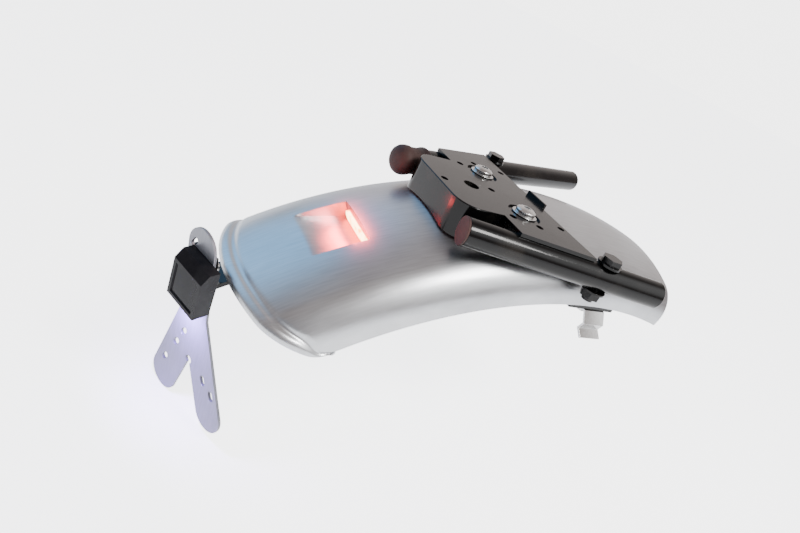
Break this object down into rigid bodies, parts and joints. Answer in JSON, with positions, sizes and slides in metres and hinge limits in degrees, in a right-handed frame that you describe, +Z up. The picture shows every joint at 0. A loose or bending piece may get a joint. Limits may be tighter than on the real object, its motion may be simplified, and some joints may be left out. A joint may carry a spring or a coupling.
{
  "type": "motorcycle rear fender",
  "caption": "Brushed steel motorcycle rear fender with a sunk LED tail light and lobed plate holder, on black frame tubes and a pressed cross plate.",
  "frame": {"origin": "top face of the cross plate, midway between the two fender bolts", "axes": "+X to the front of the bike along the tubes' plane, +Y to its left, +Z up out of the cross plate"},
  "size_m": [0.3805, 0.2203, 0.2134],
  "materials": {
    "fender_steel": "brushed, bare",
    "light_plastic": "moulded black",
    "gasket_rubber": "soft black",
    "board_laminate": "green solder mask",
    "light_lens": "clear, lit",
    "zinc_steel": "bright plated",
    "black_paint": "gloss black",
    "holder_sheet": "satin grey",
    "lamp_plastic": "gloss black",
    "lamp_lens": "clear, lit white",
    "plug_rubber": "worn dark red brown",
    "strap_steel": "bright, bent"
  },
  "bodies": {
    "root": {"fender_shell": "fender_steel", "light_housing": "light_plastic", "light_gasket": "gasket_rubber", "light_board": "board_laminate", "light_lens": "light_lens", "light_screws": "zinc_steel", "light_gland": "gasket_rubber", "plate_arm": "black_paint", "arm_bolts": "zinc_steel", "arm_nuts": "zinc_steel", "plate_holder": "holder_sheet", "holder_screws": "zinc_steel", "holder_nuts": "zinc_steel", "plate_light_housing": "lamp_plastic", "plate_light_board": "board_laminate", "plate_light_lens": "lamp_lens", "right_tube": "black_paint", "left_tube": "black_paint", "right_plug": "black_paint", "left_plug": "plug_rubber", "cross_plate": "black_paint", "fender_bolts": "zinc_steel", "fender_washers": "zinc_steel", "fender_dampers": "gasket_rubber", "fender_nuts": "zinc_steel", "tube_bolts": "zinc_steel", "tube_nuts": "zinc_steel", "under_bracket": "black_paint", "side_strap": "strap_steel", "strap_bolt": "zinc_steel", "strap_nut": "zinc_steel"}
  },
  "joints": []
}
